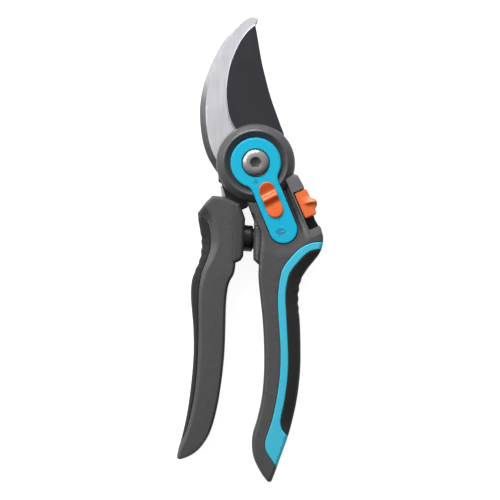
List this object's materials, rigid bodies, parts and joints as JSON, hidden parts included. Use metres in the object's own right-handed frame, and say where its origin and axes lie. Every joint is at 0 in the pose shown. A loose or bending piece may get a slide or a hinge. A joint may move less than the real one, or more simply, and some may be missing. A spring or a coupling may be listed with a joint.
{
  "type": "bypass pruning shears",
  "caption": "Bypass pruning shears with a hooked counter blade, coated cutting blade, sprung soft-grip handles, thumb lock and opening selector.",
  "frame": {"origin": "where the pivot axis meets the plane that the closed shears rest on", "axes": "+X to the right seen from the front, +Y towards the blade tips, +Z out of the front along the pivot axis"},
  "size_m": [0.0672, 0.214, 0.0198],
  "materials": {
    "blade_steel": "satin ground steel, bevel polished brighter along the outer edge",
    "handle_grey": "fine-grained dark grey moulded plastic",
    "stripe_turquoise": "satin turquoise soft-touch moulding",
    "insert_black": "matt black soft rubber with grip ribs",
    "rail_grey": "lighter grey moulded rail",
    "housing_grey": "fine-grained dark grey moulded plastic",
    "plate_turquoise": "satin-gloss turquoise plate with raised twig-end marks",
    "bolt_steel": "turned satin steel socket head",
    "washer_steel": "spring steel",
    "bushing_steel": "hardened ground sleeve",
    "nut_steel": "zinc-plated nut",
    "spring_cover_black": "smooth black plastic",
    "spring_steel": "drawn spring wire",
    "pin_steel": "ground dowel",
    "screw_steel": "dark zinc cross-recess screw",
    "lock_orange": "satin orange thumb slider",
    "latch_steel": "stamped steel bar",
    "detent_steel": "ball and spring",
    "selector_orange": "satin orange selector",
    "stop_pin_steel": "ground pin",
    "selector_detent_steel": "small balls",
    "coated_blade": "black non-stick coat with a bare ground cutting bevel",
    "handle_grey_left": "fine-grained dark grey moulded plastic",
    "insert_dark_left": "dark soft rubber with small ribs",
    "bracket_alloy": "bead-blasted light alloy",
    "rivet_steel": "steel rivets",
    "spring_cup_black": "smooth black plastic"
  },
  "bodies": {
    "root": {"counter_blade": "blade_steel", "right_handle_body": "handle_grey", "right_grip_stripe": "stripe_turquoise", "right_grip_insert": "insert_black", "lock_rail": "rail_grey", "pivot_housing": "housing_grey", "keyhole_plate": "plate_turquoise", "pivot_bolt": "bolt_steel", "pivot_washer": "washer_steel", "pivot_bushing": "bushing_steel", "pivot_nut": "nut_steel", "spring_plunger": "spring_cover_black", "coil_spring": "spring_steel", "counter_blade_pins": "pin_steel", "housing_screws": "screw_steel"},
    "left_handle": {"cutting_blade": "coated_blade", "left_handle_body": "handle_grey_left", "left_grip_insert": "insert_dark_left", "neck_bracket": "bracket_alloy", "blade_rivets": "rivet_steel", "spring_cup": "spring_cup_black"},
    "lock": {"lock_slider": "lock_orange", "lock_bar": "latch_steel", "lock_detent": "detent_steel"},
    "selector": {"selector_button": "selector_orange", "selector_stop_pin": "stop_pin_steel", "selector_detents": "selector_detent_steel"}
  },
  "joints": [
    {"name": "handle_hinge", "type": "hinge", "parent": "root", "child": "left_handle", "pos_m": [0, 0, 0.0104], "axis": [0, 0, -1], "range_deg": [0, 24], "deforming": ["coil_spring"]},
    {"name": "lock_slide", "type": "slide", "parent": "root", "child": "lock", "axis": [0.3969, -0.9178, 0], "range_m": [0, 0.005]},
    {"name": "selector_slide", "type": "slide", "parent": "root", "child": "selector", "axis": [0.3829, -0.9238, 0], "range_m": [0, 0.005]}
  ]
}
